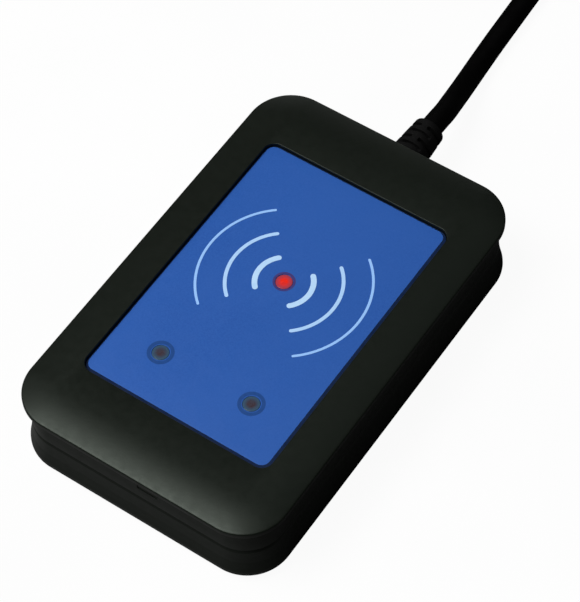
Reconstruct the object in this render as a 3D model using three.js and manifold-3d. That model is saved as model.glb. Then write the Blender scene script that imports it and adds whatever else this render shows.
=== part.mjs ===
// Desktop RFID card reader with a USB lead. Millimetres, +Z up.
// Origin: centre of the housing's footprint, on the surface that the rubber feet stand on.
// +X runs across the housing, +Y along it towards the lead.
import * as THREE from 'three';
import { mergeVertices } from 'three/addons/utils/BufferGeometryUtils.js';
import Module from 'manifold-3d';

const wasm = await Module();
wasm.setup();

// ---------------------------------------------------------------- driving dimensions
const WIDTH = 56;
const LENGTH = 88;
const HEIGHT = 18;
const CORNER_RADIUS = 8.9;
const CORNER_STEPS = 6;
const POST_SIDES = 16;
const HOLE_SIDES = 20;
const TURNED_SIDES = 20;

const BASE_Z = 0.8; // underside of the bottom cover, above the feet
const PARTING_Z = 9.5;
const PARTING_GAP = 0.3;
const LIP_TOP_Z = 17;
const LIP_BOTTOM_Z = 16.1;
const LIP_EDGE = 0.3; // broken edge where the crown meets the lip
const CROWN_WIDTH = 7.5;
const BASE_EDGE_WIDTH = 2;
const BASE_EDGE_Z = 2.6;
// side wall under the lip, as [inset from the widest outline, height]
const UPPER_WALL = [[1.35, 15.3], [1.3, 13.4], [1.1, 11.4]];
const LIP_UNDERCUT = [[0.55, 15.65], [0.12, 15.85]];
const PARTING_INSET = 0.95;
const LOWER_WALL = [[0.82, 7.6], [0.6, 5.8], [0.25, 4.1], [0.06, 3.2]];

const CAVITY_INSET = 3.3;
const FLOOR_Z = 2.6;
const CEILING_Z = 14.6;
const TONGUE_INSET = 2.5;
const TONGUE_HEIGHT = 1.2;
const FIT_GAP = 0.15;

const FILM = { width: 40.5, length: 60.8, radius: 2.3, y: 0.1, bottom: 16.8, top: 17.2 };
const FILM_GAP = 0.15;
const ADHESIVE = 0.05;

const LENS_RADIUS = 1.6;
const LENSES = [
  { name: 'centre', x: 0, y: 5.2, colour: 0xe5362a },
  { name: 'left', x: -10.04, y: -19.86, colour: 0x8d8a86 },
  { name: 'right', x: 10.04, y: -19.86, colour: 0x8d8a86 },
];

const BOARD = { halfWidth: 23.8, front: -39.8, back: 31, bottom: 5.6, top: 7.2 };
const BOARD_NOTCH = { x: 15.6, y: -31.2 };
const BOARD_SCREWS = [[-19.8, 26.5], [19.8, 26.5]];
const BOARD_RESTS = [[-12, -35], [12, -35]];
const BOARD_FIXING = { boss: 2.8, rest: 2, pilot: 1.15, hole: 1.3 };
const SEAT = 0.05; // solder or glue line under a piece that stands on another
const AERIAL = { halfWidth: 21, halfLength: 25, radius: 7, winding: 2.8, height: 1.4, y: -3.5 };
const LEGGED_CHIPS = [
  { name: 'controller_chip', x: 6, y: -7.5, width: 6.6, length: 7, height: 1.2, legs: 6 },
  { name: 'memory_chip', x: 9.5, y: 10, width: 4, length: 5, height: 1.5, legs: 4 },
  { name: 'voltage_regulator', x: 12.3, y: -14, width: 3.4, length: 5.6, height: 1.7, legs: 3 },
];
const CHIP_LEG = { reach: 0.9, thickness: 0.4, share: 0.4 };
const RADIO_CHIP = { x: -8.5, y: 8, width: 5, length: 5, height: 0.9 };
const CRYSTAL = { x: 8, y: 1, width: 5, length: 3.2, height: 1.2 };
const CAPACITOR = { x: -13, y: 14, radius: 3.15, height: 5.3, beadAt: 0.9 };
const SOUNDER = { x: -9, y: -7, radius: 5.6, height: 4.1, cap: 1.2, hole: 1 };
const LAMP = { halfWidth: 1.6, halfLength: 1, base: 0.6, dome: 0.9, height: 1.45 };
const HEADER = { halfWidth: 6, front: 22.3, back: 26.3, height: 4.6, wall: 0.8 };
const CONNECTOR = { halfWidth: 5.4, front: 26.6, back: 32.4, bottom: 0.3, top: 4.3 };
const CONNECTOR_NOSE = { halfWidth: 4.9, front: 23.7, bottom: 1.1, top: 3.5 };

const COVER_SCREWS = [[-20.3, -35.8], [20.3, -35.8], [-20.3, 35.8], [20.3, 35.8]];
const COVER_FIXING = { boss: 3.4, post: 2.9, head: 2.9, headDepth: 3.4, clearance: 1.6, pilot: 1.35 };
const COVER_SCREW = { headRadius: 2.5, headHeight: 1.8, shankRadius: 1.2, length: 9.6, headZ: 1.5 };
const BOARD_SCREW = { headRadius: 2.1, headHeight: 1.3, shankRadius: 1, length: 3.6 };
const CLAMP_SCREW = { headRadius: 1.7, headHeight: 1.2, shankRadius: 0.85, length: 6.2, pilot: 1 };
const FEET = [[-19.5, -26.5], [19.5, -26.5], [-19.5, 26.5], [19.5, 26.5]];
const FOOT = { radius: 4.5, height: 1.35, pocket: 4.8 };
const PLATE = { width: 38, length: 22, radius: 1.7, gap: 0.3, bottom: 0.9, top: 1.15 };
const PRY_SLOT = { x: 3.2, width: 4.4, bottom: 11.5, top: 13.5, depth: 0.25 };

const CORD_DIAMETER = 4.6;
const CORD_RADIUS = CORD_DIAMETER / 2;
const INNER_LEAD_RADIUS = 1.85;
const EXIT_X = 0.35;
const EXIT_Z = PARTING_Z;
const WALL_INNER_Y = LENGTH / 2 - CAVITY_INSET;
const CABLE_HOLE_RADIUS = 3.1;
const SPOTFACE = { radius: 4.7, depth: 0.5 };
const RELIEF = {
  flangeY: 38.6, flange: 4.2, neck: 2.8, baseRadius: 4, tipRadius: 3.2, tipY: 54.8, edge: 0.3,
};
// short slots that let the strain relief bend; every second row is open at the sides instead
const BEND_SLOTS = { first: 47.7, pitch: 1.77, rows: 4, width: 0.6, depth: 0.75, halfSpan: 2.3, bridge: 0.9 };
const CLAMP = { y: 35.6, halfWidth: 7.2, halfLength: 1.7, bottom: 11.5, top: 13, screwX: 5.2 };
const CRADLE = { slotHalf: 2.3, floor: 7.3, top: 11.2 };

// free stretch of the lead: out of the strain relief, down to the surface and along it
const CORD_ROUTE = [
  [0.35, 55.1, 9.5], [0.31, 58, 9.2], [0, 61.2, 8.2], [-0.65, 64.5, 6.85], [-1.35, 67.8, 5.4],
  [-2, 71, 4.1], [-2.55, 74.2, 3.15], [-3, 77.6, 2.55], [-3.3, 81, 2.32], [-3.6, 86, 2.3],
  [-3.95, 94, 2.3], [-4.3, 102, 2.3], [-4.6, 109, 2.3],
];
const COIL_CENTRE = [-36.05, 126.65];
const COIL_INNER = 14.25;
const COIL_OUTER = 32.95;
const COIL_HEIGHT = 18.55;
const TIE = { width: 4, thickness: 0.6, gap: 0.3 };
// last stretch, lying on the coil, measured from the coil's centre
const TAIL_ROUTE = [
  [12.3, -26.4, 21.15], [14.8, -23.8, 21.2], [16.9, -20.9, 21.45], [18.3, -17.6, 21.95],
  [19, -14.6, 22.5], [19.15, -11.9, 22.85],
];
const PLUG = { x: 19.15, rearY: -11.6, z: 22.85, sleeve: 6.5 };
const GRIP = { halfWidth: 8, halfHeight: 4, length: 20, radius: 1.8 };
const SHELL = { halfWidth: 6, halfHeight: 2.25, wall: 0.3, exposed: 11.75, seated: 2.7 };
const LATCH_WINDOW = { x: 3, halfWidth: 1.2, from: 7.2, to: 5 };
const CONTACTS = [-3.5, -1, 1, 3.5];

// ---------------------------------------------------------------- materials
const finish = (color, roughness, metalness = 0) => ({ color, roughness, metalness });
const FINISH = {
  housing: finish(0x1c1f1d, 0.55),
  film: finish(0x335fac, 0.4),
  rubber: finish(0x0c0c0c, 0.8),
  cord: finish(0x080808, 0.6),
  board: finish(0x1f5a34, 0.5),
  copper: finish(0xb06a35, 0.4, 0.8),
  chip: finish(0x17181a, 0.6),
  steel: finish(0xb8bbbf, 0.35, 1),
  gold: finish(0xd6a84a, 0.3, 1),
  ivory: finish(0xe4dfcf, 0.5),
  lamp: finish(0xe9e6d8, 0.3),
  plate: finish(0xb9bcc0, 0.45, 0.3),
};

const reader = new THREE.Group();

function piece(name, geometry, look) {
  const mesh = new THREE.Mesh(geometry, new THREE.MeshStandardMaterial(look));
  mesh.name = name;
  reader.add(mesh);
  return mesh;
}

// ---------------------------------------------------------------- shape helpers
function toSolid(geometry) {
  const bare = geometry.clone();
  bare.deleteAttribute('normal');
  bare.deleteAttribute('uv');
  const merged = mergeVertices(bare, 1e-4);
  const triVerts = Uint32Array.from(merged.index.array);
  const vertProperties = Float32Array.from(merged.attributes.position.array);
  return new wasm.Manifold(new wasm.Mesh({ numProp: 3, vertProperties, triVerts }));
}

function toGeometry(solid) {
  const mesh = solid.getMesh();
  const geometry = new THREE.BufferGeometry();
  geometry.setAttribute('position', new THREE.BufferAttribute(mesh.vertProperties, 3));
  geometry.setIndex(new THREE.BufferAttribute(mesh.triVerts, 1));
  geometry.computeVertexNormals();
  return geometry;
}

const addAll = (solid, geometries) => geometries.reduce((sum, g) => sum.add(toSolid(g)), solid);
const cutAll = (solid, geometries) => geometries.reduce((sum, g) => sum.subtract(toSolid(g)), solid);

function block(x0, x1, y0, y1, z0, z1) {
  const geometry = new THREE.BoxGeometry(x1 - x0, y1 - y0, z1 - z0);
  geometry.translate((x0 + x1) / 2, (y0 + y1) / 2, (z0 + z1) / 2);
  return geometry;
}

function post(radius, x, y, z0, z1, sides = POST_SIDES) {
  const geometry = new THREE.CylinderGeometry(radius, radius, z1 - z0, sides);
  geometry.rotateX(Math.PI / 2);
  geometry.translate(x, y, (z0 + z1) / 2);
  return geometry;
}

function drillY(radius, y0, y1, x, z) {
  const geometry = new THREE.CylinderGeometry(radius, radius, y1 - y0, HOLE_SIDES);
  geometry.translate(x, (y0 + y1) / 2, z);
  return geometry;
}

// a profile of [radius, height] turned about the vertical axis
function turned(profile, x, y, sides = TURNED_SIDES) {
  const points = profile.map(([radius, height]) => new THREE.Vector2(radius, height));
  const geometry = new THREE.LatheGeometry(points, sides);
  geometry.rotateX(Math.PI / 2);
  geometry.translate(x, y, 0);
  return geometry;
}

// a profile of [radius, distance] turned about a line along +Y
function turnedY(profile, x, z, sides = TURNED_SIDES) {
  const points = profile.map(([radius, distance]) => new THREE.Vector2(radius, distance));
  const geometry = new THREE.LatheGeometry(points, sides);
  geometry.translate(x, 0, z);
  return geometry;
}

function roundedRect(halfX, halfY, radius, x = 0, y = 0, path = new THREE.Shape()) {
  const turn = Math.PI / 2;
  path.absarc(x + halfX - radius, y + halfY - radius, radius, 0, turn);
  path.absarc(x - halfX + radius, y + halfY - radius, radius, turn, 2 * turn);
  path.absarc(x - halfX + radius, y - halfY + radius, radius, 2 * turn, 3 * turn);
  path.absarc(x + halfX - radius, y - halfY + radius, radius, 3 * turn, 4 * turn);
  path.closePath();
  return path;
}

function slab(shape, z0, z1, curveSegments = 6) {
  const geometry = new THREE.ExtrudeGeometry(shape, {
    depth: z1 - z0, bevelEnabled: false, curveSegments,
  });
  geometry.translate(0, 0, z0);
  return geometry;
}

function outline(inset) {
  const radius = CORNER_RADIUS - inset;
  const centreX = WIDTH / 2 - CORNER_RADIUS;
  const centreY = LENGTH / 2 - CORNER_RADIUS;
  const points = [];
  [[1, 1], [-1, 1], [-1, -1], [1, -1]].forEach(([sideX, sideY], corner) => {
    for (let step = 0; step <= CORNER_STEPS; step += 1) {
      const angle = (corner + step / CORNER_STEPS) * Math.PI / 2;
      points.push([
        sideX * centreX + radius * Math.cos(angle),
        sideY * centreY + radius * Math.sin(angle),
      ]);
    }
  });
  return points;
}

// closed body through a stack of outlines, each [inset, height], from the lowest up
function loft(rings) {
  const positions = [];
  rings.forEach(([inset, z]) => outline(inset).forEach(([x, y]) => positions.push(x, y, z)));
  const count = positions.length / 3 / rings.length;
  const top = count * (rings.length - 1);
  const index = [];
  for (let i = 1; i < count - 1; i += 1) {
    index.push(0, i + 1, i, top, top + i, top + i + 1);
  }
  for (let ring = 0; ring < rings.length - 1; ring += 1) {
    for (let i = 0; i < count; i += 1) {
      const a = ring * count + i;
      const b = ring * count + (i + 1) % count;
      index.push(a, b, b + count, a, b + count, a + count);
    }
  }
  const geometry = new THREE.BufferGeometry();
  geometry.setAttribute('position', new THREE.Float32BufferAttribute(positions, 3));
  geometry.setIndex(index);
  return geometry;
}

function tube(route, radius, sides, steps) {
  const path = new THREE.CatmullRomCurve3(route.map((point) => new THREE.Vector3(...point)));
  const section = new THREE.Shape();
  for (let side = 0; side < sides; side += 1) {
    const angle = 2 * Math.PI * side / sides;
    const place = side === 0 ? 'moveTo' : 'lineTo';
    section[place](radius * Math.cos(angle), radius * Math.sin(angle));
  }
  section.closePath();
  return new THREE.ExtrudeGeometry(section, { steps, extrudePath: path, bevelEnabled: false });
}

// shallow crown from the lip up to the level top, as [inset, height]
function crownArc(steps) {
  const rise = HEIGHT - LIP_TOP_Z;
  const points = [[0, LIP_TOP_Z - LIP_EDGE]];
  for (let step = 0; step <= steps; step += 1) {
    const inset = LIP_EDGE + (CROWN_WIDTH - LIP_EDGE) * step / steps;
    points.push([inset, HEIGHT - rise * (1 - inset / CROWN_WIDTH) ** 2]);
  }
  return points;
}

// rounded edge from a vertical wall at inset 0 to a level face, as [inset, height]
function edgeArc(width, fromZ, toZ, steps) {
  const points = [];
  for (let step = 0; step <= steps; step += 1) {
    const angle = step / steps * Math.PI / 2;
    points.push([width * (1 - Math.cos(angle)), fromZ + (toZ - fromZ) * Math.sin(angle)]);
  }
  return points;
}

// ---------------------------------------------------------------- housing
function cableHole() {
  const wall = LENGTH / 2 - PARTING_INSET;
  return [
    drillY(CABLE_HOLE_RADIUS, WALL_INNER_Y - 1, LENGTH / 2 + 1, EXIT_X, EXIT_Z),
    drillY(SPOTFACE.radius, wall - SPOTFACE.depth, wall + 2, EXIT_X, EXIT_Z),
  ];
}

function topCover() {
  const shell = loft([
    [PARTING_INSET, PARTING_Z + PARTING_GAP / 2],
    ...[...UPPER_WALL].reverse(),
    ...LIP_UNDERCUT,
    [0, LIP_BOTTOM_Z],
    ...crownArc(5),
  ]);
  const below = PARTING_Z;
  const cavity = loft([[CAVITY_INSET, below], [CAVITY_INSET, CEILING_Z]]);
  const rebateTop = PARTING_Z + TONGUE_HEIGHT + PARTING_GAP;
  const rebateInset = TONGUE_INSET - FIT_GAP;
  const rebate = loft([[rebateInset, below], [rebateInset, rebateTop]]);
  const pocket = roundedRect(FILM.width / 2 + FILM_GAP, FILM.length / 2 + FILM_GAP, FILM.radius, 0, FILM.y);
  let cover = cutAll(toSolid(shell), [
    cavity, rebate, slab(pocket, FILM.bottom - ADHESIVE, HEIGHT + 1), ...cableHole(),
    ...LENSES.map(({ x, y }) => post(LENS_RADIUS + FIT_GAP, x, y, CEILING_Z - 1, FILM.top, HOLE_SIDES)),
  ]);
  const slotFace = -LENGTH / 2 + UPPER_WALL[1][0];
  cover = cutAll(cover, [block(
    PRY_SLOT.x - PRY_SLOT.width / 2, PRY_SLOT.x + PRY_SLOT.width / 2,
    slotFace - 1, slotFace + PRY_SLOT.depth, PRY_SLOT.bottom, PRY_SLOT.top,
  )]);
  const posts = COVER_SCREWS.map(([x, y]) => post(
    COVER_FIXING.post, x, y, PARTING_Z + PARTING_GAP / 2, CEILING_Z + 0.5,
  ));
  const pilots = COVER_SCREWS.map(([x, y]) => post(COVER_FIXING.pilot, x, y, PARTING_Z, CEILING_Z - 0.6));
  piece('top_cover', toGeometry(cutAll(addAll(cover, posts), pilots)), FINISH.housing);
}

function bottomCover() {
  const rim = PARTING_Z - PARTING_GAP / 2;
  const shell = loft([
    ...edgeArc(BASE_EDGE_WIDTH, BASE_EDGE_Z, BASE_Z, 4).reverse(),
    ...[...LOWER_WALL].reverse(),
    [PARTING_INSET, rim],
  ]);
  const tongue = loft([[TONGUE_INSET, FLOOR_Z], [TONGUE_INSET, rim + TONGUE_HEIGHT]]);
  const cavity = loft([[CAVITY_INSET, FLOOR_Z], [CAVITY_INSET, HEIGHT]]);
  let cover = cutAll(addAll(toSolid(shell), [tongue]), [cavity, ...cableHole()]);
  const cradleFront = CLAMP.y - CLAMP.halfLength - 0.1;
  const cradleBack = CLAMP.y + CLAMP.halfLength + 0.1;
  const cradlePart = (x0, x1, z0, z1) => block(x0, x1, cradleFront, cradleBack, z0, z1);
  cover = addAll(cover, [
    cradlePart(-CLAMP.halfWidth, CLAMP.halfWidth, FLOOR_Z - 0.5, CRADLE.floor),
    cradlePart(-CLAMP.halfWidth, -CRADLE.slotHalf, CRADLE.floor - 0.3, CRADLE.top),
    cradlePart(CRADLE.slotHalf, CLAMP.halfWidth, CRADLE.floor - 0.3, CRADLE.top),
    ...COVER_SCREWS.map(([x, y]) => post(COVER_FIXING.boss, x, y, FLOOR_Z - 0.5, rim)),
    ...BOARD_SCREWS.map(([x, y]) => post(BOARD_FIXING.boss, x, y, FLOOR_Z - 0.5, BOARD.bottom - SEAT)),
    ...BOARD_RESTS.map(([x, y]) => post(BOARD_FIXING.rest, x, y, FLOOR_Z - 0.5, BOARD.bottom - SEAT)),
  ]);
  const { head, headDepth, clearance } = COVER_FIXING;
  const clampPilotBottom = CLAMP.top - CLAMP_SCREW.length - 1.2;
  cover = cutAll(cover, [
    ...COVER_SCREWS.map(([x, y]) => post(head, x, y, 0, headDepth)),
    ...COVER_SCREWS.map(([x, y]) => post(clearance, x, y, headDepth - 0.4, rim + 1)),
    ...BOARD_SCREWS.map(([x, y]) => post(BOARD_FIXING.pilot, x, y, FLOOR_Z + 0.6, BOARD.bottom)),
    ...[-1, 1].map((side) => post(
      CLAMP_SCREW.pilot, side * CLAMP.screwX, CLAMP.y, clampPilotBottom, CRADLE.top + 1,
    )),
    ...FEET.map(([x, y]) => post(FOOT.pocket, x, y, 0, FOOT.height + ADHESIVE)),
    slab(
      roundedRect(PLATE.width / 2 + PLATE.gap, PLATE.length / 2 + PLATE.gap, PLATE.radius + PLATE.gap),
      0, PLATE.top + ADHESIVE,
    ),
  ]);
  piece('bottom_cover', toGeometry(cover), FINISH.housing);
}

function frontFilm() {
  const shape = roundedRect(FILM.width / 2, FILM.length / 2, FILM.radius - FILM_GAP, 0, FILM.y);
  LENSES.forEach(({ x, y }) => {
    const opening = new THREE.Path();
    opening.absarc(x, y, LENS_RADIUS + FIT_GAP, 0, 2 * Math.PI, true);
    shape.holes.push(opening);
  });
  piece('front_film', slab(shape, FILM.bottom, FILM.top, 10), FINISH.film);
}

function ratingPlate() {
  const shape = roundedRect(PLATE.width / 2, PLATE.length / 2, PLATE.radius);
  piece('rating_plate', slab(shape, PLATE.bottom, PLATE.top), FINISH.plate);
}

function feet() {
  const { radius, height } = FOOT;
  FEET.forEach(([x, y], i) => {
    const profile = [
      [0, 0], [radius - 0.7, 0], [radius - 0.2, 0.2], [radius, 0.6], [radius, height], [0, height],
    ];
    piece(`rubber_foot_${i + 1}`, turned(profile, x, y), FINISH.rubber);
  });
}

// ---------------------------------------------------------------- fasteners
// a screw that drives down (direction -1) or up (direction 1) from its head, cross recess outwards
function screw(name, x, y, headZ, direction, { headRadius, headHeight, shankRadius, length }) {
  const tip = headHeight + length;
  const profile = [
    [0, 0], [headRadius * 0.75, 0], [headRadius, headHeight * 0.45], [headRadius, headHeight],
    [shankRadius, headHeight], [shankRadius, tip - shankRadius], [shankRadius * 0.3, tip], [0, tip],
  ];
  const slot = shankRadius * 0.42;
  const reach = headRadius * 0.62;
  const depth = headHeight * 0.55;
  const recess = [
    block(-reach, reach, -slot / 2, slot / 2, -1, depth),
    block(-slot / 2, slot / 2, -reach, reach, -1, depth),
  ];
  const geometry = toGeometry(cutAll(toSolid(turned(profile, 0, 0, 12)), recess));
  if (direction < 0) geometry.rotateX(Math.PI);
  geometry.translate(x, y, headZ);
  piece(name, geometry, FINISH.steel);
}

function screws() {
  COVER_SCREWS.forEach(([x, y], i) => {
    screw(`cover_screw_${i + 1}`, x, y, COVER_SCREW.headZ, 1, COVER_SCREW);
  });
  BOARD_SCREWS.forEach(([x, y], i) => {
    screw(`board_screw_${i + 1}`, x, y, BOARD.top + SEAT + BOARD_SCREW.headHeight, -1, BOARD_SCREW);
  });
  const clampHeadZ = CLAMP.top + SEAT + CLAMP_SCREW.headHeight;
  [['left', -1], ['right', 1]].forEach(([name, side]) => {
    screw(`clamp_screw_${name}`, side * CLAMP.screwX, CLAMP.y, clampHeadZ, -1, CLAMP_SCREW);
  });
}

// ---------------------------------------------------------------- electronics
function circuitBoard() {
  const { halfWidth, front, back } = BOARD;
  const shape = new THREE.Shape();
  shape.moveTo(-halfWidth, back);
  shape.lineTo(-halfWidth, BOARD_NOTCH.y);
  shape.lineTo(-BOARD_NOTCH.x, BOARD_NOTCH.y);
  shape.lineTo(-BOARD_NOTCH.x, front);
  shape.lineTo(BOARD_NOTCH.x, front);
  shape.lineTo(BOARD_NOTCH.x, BOARD_NOTCH.y);
  shape.lineTo(halfWidth, BOARD_NOTCH.y);
  shape.lineTo(halfWidth, back);
  shape.closePath();
  BOARD_SCREWS.forEach(([x, y]) => {
    const hole = new THREE.Path();
    hole.absarc(x, y, BOARD_FIXING.hole, 0, 2 * Math.PI, true);
    shape.holes.push(hole);
  });
  piece('circuit_board', slab(shape, BOARD.bottom, BOARD.top), FINISH.board);
}

const BOARD_FACE = BOARD.top + SEAT;

function antennaCoil() {
  const { halfWidth, halfLength, radius, winding, height, y } = AERIAL;
  const shape = roundedRect(halfWidth, halfLength, radius, 0, y);
  const inner = [halfWidth - winding, halfLength - winding, radius - winding];
  shape.holes.push(roundedRect(...inner, 0, y, new THREE.Path()));
  piece('antenna_coil', slab(shape, BOARD_FACE, BOARD_FACE + height), FINISH.copper);
}

function onBoard(name, { x, y, width, length, height }, look) {
  piece(name, block(
    x - width / 2, x + width / 2, y - length / 2, y + length / 2, BOARD_FACE, BOARD_FACE + height,
  ), look);
}

// a chip with gull-wing legs down two sides
function leggedChip({ name, x, y, width, length, height, legs }) {
  const halfX = width / 2;
  const front = y - length / 2;
  const body = block(x - halfX, x + halfX, front, front + length, BOARD_FACE + 0.1, BOARD_FACE + height);
  const pitch = length / legs;
  const halfLeg = pitch * CHIP_LEG.share / 2;
  const legBlocks = [];
  for (let leg = 0; leg < legs; leg += 1) {
    const legY = front + (leg + 0.5) * pitch;
    [-1, 1].forEach((side) => {
      const ends = [x + side * (halfX - 0.2), x + side * (halfX + CHIP_LEG.reach)].sort((a, b) => a - b);
      legBlocks.push(block(
        ...ends, legY - halfLeg, legY + halfLeg, BOARD_FACE, BOARD_FACE + CHIP_LEG.thickness,
      ));
    });
  }
  piece(name, toGeometry(addAll(toSolid(body), legBlocks)), FINISH.chip);
}

function capacitor() {
  const { x, y, radius, height, beadAt } = CAPACITOR;
  const profile = [
    [0, 0], [radius, 0], [radius, beadAt], [radius - 0.2, beadAt + 0.3], [radius, beadAt + 0.6],
    [radius, height - 0.3], [radius - 0.25, height], [0, height],
  ].map(([r, z]) => [r, BOARD_FACE + z]);
  piece('storage_capacitor', turned(profile, x, y), FINISH.steel);
}

function sounder() {
  const { x, y, radius, height, cap, hole } = SOUNDER;
  const capBase = BOARD_FACE + height;
  const bodyTop = capBase - SEAT;
  piece('sounder', turned([
    [0, BOARD_FACE], [radius, BOARD_FACE], [radius, bodyTop], [0, bodyTop],
  ], x, y), FINISH.chip);
  piece('sounder_cap', turned([
    [hole, capBase], [radius, capBase], [radius, capBase + cap - 0.3], [radius - 0.3, capBase + cap],
    [hole, capBase + cap], [hole, capBase],
  ], x, y), FINISH.chip);
}

function electronics() {
  circuitBoard();
  antennaCoil();
  LEGGED_CHIPS.forEach(leggedChip);
  onBoard('radio_chip', RADIO_CHIP, FINISH.chip);
  onBoard('clock_crystal', CRYSTAL, FINISH.steel);
  capacitor();
  sounder();
}

function lamp(name, x, y) {
  const { halfWidth, halfLength, base, dome, height } = LAMP;
  const foot = toSolid(block(
    x - halfWidth, x + halfWidth, y - halfLength, y + halfLength, BOARD_FACE, BOARD_FACE + base,
  ));
  const profile = [
    [0, base - 0.3], [dome, base - 0.3], [dome, base + 0.3], [dome - 0.3, height - 0.15], [0, height],
  ].map(([r, z]) => [r, BOARD_FACE + z]);
  piece(`${name}_lamp`, toGeometry(addAll(foot, [turned(profile, x, y, 12)])), FINISH.lamp);
}

// light pipe from just over the lamp to the film, held under the top cover by its flange
function lightLens(name, x, y, colour) {
  const top = FILM.top - 0.05;
  const flange = CEILING_Z - 0.3;
  piece(`${name}_light_lens`, turned([
    [0, 9.1], [1.4, 9.1], [1.5, flange - 1], [2.6, flange - 1], [2.6, flange], [LENS_RADIUS, flange],
    [LENS_RADIUS, top - 0.3], [LENS_RADIUS - 0.3, top - 0.08], [0.6, top], [0, top],
  ], x, y), finish(colour, 0.25));
}

function lamps() {
  LENSES.forEach(({ name, x, y, colour }) => {
    lamp(name, x, y);
    lightLens(name, x, y, colour);
  });
}

// ---------------------------------------------------------------- lead inside the housing
function headerAndConnector() {
  const { halfWidth, front, back, height, wall } = HEADER;
  const header = cutAll(toSolid(block(-halfWidth, halfWidth, front, back, BOARD_FACE, BOARD_FACE + height)), [
    block(
      wall - halfWidth, halfWidth - wall, front + 1, back + wall,
      BOARD_FACE + wall, BOARD_FACE + height - wall,
    ),
  ]);
  piece('cable_header', toGeometry(header), FINISH.ivory);
  const body = CONNECTOR;
  const nose = CONNECTOR_NOSE;
  const connector = addAll(toSolid(block(
    -body.halfWidth, body.halfWidth, body.front, body.back, BOARD_FACE + body.bottom, BOARD_FACE + body.top,
  )), [block(
    -nose.halfWidth, nose.halfWidth, nose.front, body.front + 0.4,
    BOARD_FACE + nose.bottom, BOARD_FACE + nose.top,
  )]);
  piece('cable_connector', toGeometry(connector), FINISH.ivory);
}

function leadAndClamp() {
  const leadEnds = [RELIEF.flangeY - 0.3, CONNECTOR.back + 0.35];
  piece('inner_lead', tube(leadEnds.map((y) => [EXIT_X, y, EXIT_Z]), INNER_LEAD_RADIUS, 12, 6), FINISH.cord);
  const { y, halfWidth, halfLength, bottom, top, screwX } = CLAMP;
  const bar = cutAll(toSolid(block(-halfWidth, halfWidth, y - halfLength, y + halfLength, bottom, top)), [
    ...[-1, 1].map((side) => post(CLAMP_SCREW.pilot, side * screwX, y, bottom - 0.5, top + 1)),
  ]);
  piece('cable_clamp', toGeometry(bar), FINISH.steel);
}

function strainRelief() {
  const { tipY, flangeY, flange, neck, baseRadius, tipRadius, edge } = RELIEF;
  const wall = LENGTH / 2 - PARTING_INSET - 0.2;
  const flangeFront = WALL_INNER_Y - 0.3;
  const body = turnedY([
    [0, flangeY], [flange, flangeY], [flange, flangeFront], [neck, flangeFront], [neck, wall],
    [baseRadius, wall], [tipRadius, tipY - edge], [tipRadius - edge, tipY], [0, tipY],
  ], EXIT_X, EXIT_Z);
  const { first, pitch, rows, width, depth, halfSpan, bridge } = BEND_SLOTS;
  const reach = baseRadius + 1;
  let relief = toSolid(body);
  for (let row = 0; row < rows; row += 1) {
    const y = first + row * pitch;
    const root = baseRadius + (tipRadius - baseRadius) * (y - wall) / (tipY - wall) - depth;
    const ring = toSolid(turnedY([
      [root, y - width / 2], [reach, y - width / 2], [reach, y + width / 2], [root, y + width / 2],
      [root, y - width / 2],
    ], EXIT_X, EXIT_Z));
    const half = row % 2 === 0 ? halfSpan : bridge;
    const middle = toSolid(block(
      EXIT_X - half, EXIT_X + half, y - width, y + width, EXIT_Z - 2 * reach, EXIT_Z + 2 * reach,
    ));
    relief = relief.subtract(row % 2 === 0 ? ring.intersect(middle) : ring.subtract(middle));
  }
  piece('strain_relief', toGeometry(relief), FINISH.rubber);
}

// ---------------------------------------------------------------- lead outside the housing
function leadAndCoil() {
  piece('usb_cord', tube(CORD_ROUTE, CORD_RADIUS, 10, 13), FINISH.cord);

  const [coilX, coilY] = COIL_CENTRE;
  const round = 1.6;
  const coil = toSolid(turned([
    [COIL_INNER, round], [COIL_INNER + round, 0], [COIL_OUTER - round, 0], [COIL_OUTER, round],
    [COIL_OUTER, COIL_HEIGHT - round], [COIL_OUTER - round, COIL_HEIGHT],
    [COIL_INNER + round, COIL_HEIGHT], [COIL_INNER, COIL_HEIGHT - round], [COIL_INNER, round],
  ], coilX, coilY, 40));
  const tieSlot = TIE.thickness + TIE.gap;
  const tieHalf = TIE.width / 2 + TIE.gap;
  const notch = block(coilX - COIL_OUTER - 1, coilX, coilY - tieHalf, coilY + tieHalf, -1, tieSlot);
  piece('cord_coil', toGeometry(cutAll(coil, [notch])), FINISH.cord);

  const tail = TAIL_ROUTE.map(([x, y, z]) => [coilX + x, coilY + y, z]);
  piece('cord_tail', tube(tail, CORD_RADIUS, 10, 5), FINISH.cord);
}

// a band round the coil's section, on the side away from the plug
function cordTie() {
  const [coilX, coilY] = COIL_CENTRE;
  const middle = (COIL_INNER + COIL_OUTER) / 2;
  const halfX = (COIL_OUTER - COIL_INNER) / 2 + TIE.gap;
  const bottom = TIE.thickness;
  const halfZ = (COIL_HEIGHT + TIE.gap - bottom) / 2;
  const centreZ = bottom + halfZ;
  const band = roundedRect(halfX + TIE.thickness, halfZ + TIE.thickness, 1.4, 0, centreZ);
  band.holes.push(roundedRect(halfX, halfZ, 0.8, 0, centreZ, new THREE.Path()));
  const geometry = slab(band, -TIE.width / 2, TIE.width / 2);
  geometry.rotateX(Math.PI / 2);
  geometry.translate(coilX - middle, coilY, 0);
  piece('cord_tie', geometry, FINISH.rubber);
}

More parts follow.
